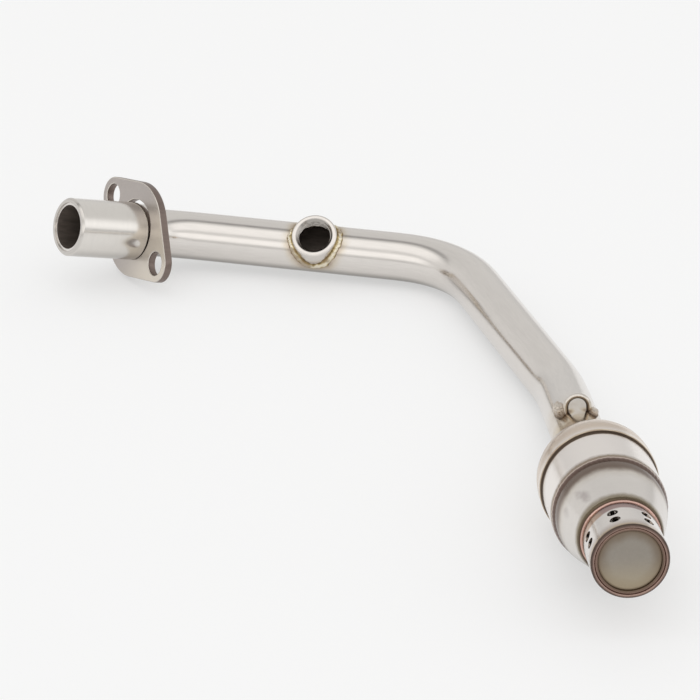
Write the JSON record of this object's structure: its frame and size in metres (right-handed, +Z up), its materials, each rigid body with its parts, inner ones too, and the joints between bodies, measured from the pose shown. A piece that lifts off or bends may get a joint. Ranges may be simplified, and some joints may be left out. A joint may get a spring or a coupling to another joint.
{
  "type": "scooter exhaust front pipe with catalyst chamber",
  "caption": "Bent stainless scooter exhaust pipe: sleeve inlet with loose bolt flange, oxygen-sensor boss, spring hook, catalyst chamber and closed perforated outlet tube.",
  "frame": {"origin": "Centre of the port flange's front face, the middle of its two stud holes.", "axes": "+X runs along the long straight leg, level; +Z is up as the pipe lies on a table; +Y follows by the right hand."},
  "size_m": [0.3572, 0.3551, 0.0582],
  "materials": {
    "satin_stainless": "satin brushed stainless",
    "turned_stainless": "turned stainless",
    "flange_steel": "satin cut plate",
    "straw_weld": "straw heat-tinted weld",
    "brown_weld": "brown heat-tinted weld",
    "dark_seam": "dark weld",
    "chamber_stainless": "satin stainless sheet",
    "vented_tube": "bright stainless",
    "tinted_end": "heat-tinted satin",
    "catalyst_foil": "plain foil",
    "hook_steel": "drawn rod"
  },
  "bodies": {
    "root": {"inlet_sleeve": "turned_stainless", "sleeve_weld": "straw_weld", "port_flange": "flange_steel", "header_pipe": "satin_stainless", "sensor_boss": "turned_stainless", "sensor_boss_weld": "straw_weld", "spring_hook": "hook_steel", "hook_weld_left": "brown_weld", "hook_weld_right": "brown_weld", "chamber_inlet_cap": "chamber_stainless", "inlet_weld": "straw_weld", "chamber_shell": "chamber_stainless", "front_seam_weld": "dark_seam", "rear_seam_weld": "brown_weld", "outlet_cup": "chamber_stainless", "outlet_weld": "brown_weld", "outlet_tube": "vented_tube", "end_cap": "tinted_end", "end_cap_weld": "brown_weld", "catalyst_mantle": "catalyst_foil", "catalyst_core": "catalyst_foil"}
  },
  "joints": []
}
